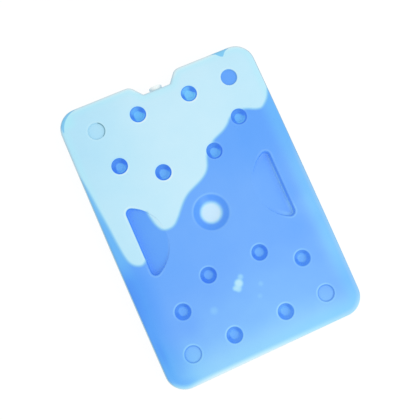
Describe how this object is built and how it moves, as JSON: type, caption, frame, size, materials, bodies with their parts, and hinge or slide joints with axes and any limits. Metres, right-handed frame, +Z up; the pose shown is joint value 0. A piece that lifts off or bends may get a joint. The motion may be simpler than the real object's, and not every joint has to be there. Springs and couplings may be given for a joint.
{
  "type": "eutectic cold plate",
  "caption": "Flat sealed cold plate: translucent blow-moulded shell with dimples, finger grips and a filler notch, over blue salt solution with an air pocket.",
  "frame": {"origin": "middle of the underside of the plate, which lies on its back", "axes": "+X across the plate, +Y along it towards the filler notch, +Z up out of the face with the dimples"},
  "size_m": [0.26, 0.365, 0.025],
  "materials": {
    "shell": "translucent natural polyethylene, satin, tinted by the blue filling behind it",
    "eutectic_fill": "clear blue salt solution",
    "filler_stopper": "translucent natural polyethylene, satin"
  },
  "bodies": {
    "root": {"shell": "shell", "eutectic_fill": "eutectic_fill", "filler_stopper": "filler_stopper"}
  },
  "joints": []
}
